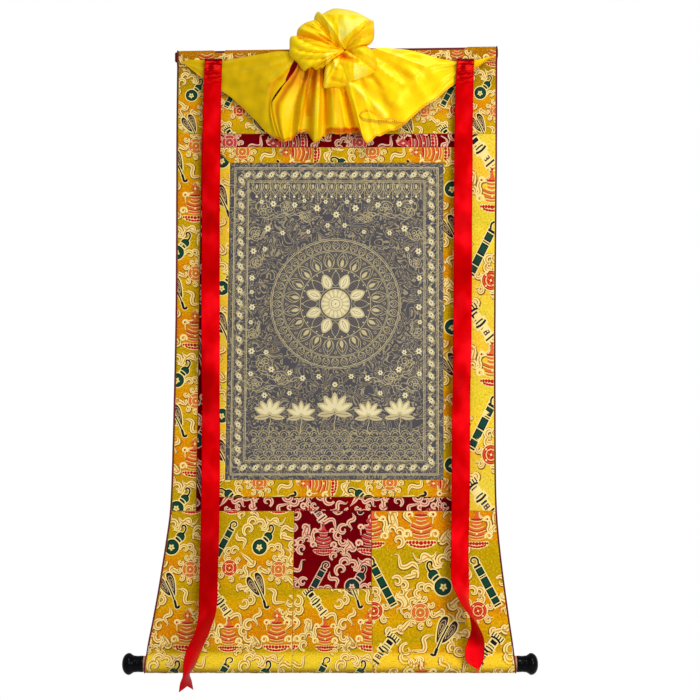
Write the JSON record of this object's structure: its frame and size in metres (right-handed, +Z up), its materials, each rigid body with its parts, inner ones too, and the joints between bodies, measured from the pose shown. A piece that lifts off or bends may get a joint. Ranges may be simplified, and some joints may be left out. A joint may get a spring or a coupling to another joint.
{
  "type": "thangka scroll painting with top batten, bottom roller and veil",
  "caption": "Hanging scroll: a woven panel in brocade frames on a flat batten and a knobbed roller, with red satin streamers and a yellow silk veil tied up in a rosette.",
  "frame": {"origin": "middle of the top edge, at the wall's face behind the batten", "axes": "+Z up, -Y the painted front, +X to the right of a person who faces it"},
  "size_m": [0.7709, 0.068, 1.2556],
  "materials": {
    "black_lacquer": "black gloss lacquer",
    "dark_red_cloth": "plain weave",
    "plain_wood": "sanded",
    "red_brocade": "satin ground with woven figures",
    "red_satin": "satin",
    "woven_picture": "fine weave, matt",
    "yellow_brocade": "satin ground with woven figures",
    "yellow_silk": "thin, slightly glossy silk"
  },
  "bodies": {
    "root": {"binding_left": "dark_red_cloth", "binding_right": "dark_red_cloth", "bottom_roller": "plain_wood", "brocade_door": "red_brocade", "brocade_side_left": "yellow_brocade", "brocade_side_right": "yellow_brocade", "brocade_skirt_left": "yellow_brocade", "brocade_skirt_middle": "yellow_brocade", "brocade_skirt_right": "yellow_brocade", "brocade_top": "yellow_brocade", "inner_frame_bottom": "yellow_brocade", "inner_frame_left": "yellow_brocade", "inner_frame_right": "yellow_brocade", "inner_frame_top": "yellow_brocade", "knob_left": "black_lacquer", "knob_right": "black_lacquer", "lining": "dark_red_cloth", "picture_panel": "woven_picture", "red_frame_bottom": "red_brocade", "red_frame_left": "red_brocade", "red_frame_right": "red_brocade", "red_frame_top": "red_brocade", "streamer_left": "red_satin", "streamer_right": "red_satin", "top_batten": "dark_red_cloth", "veil": "yellow_silk", "veil_tape": "dark_red_cloth"}
  },
  "joints": []
}
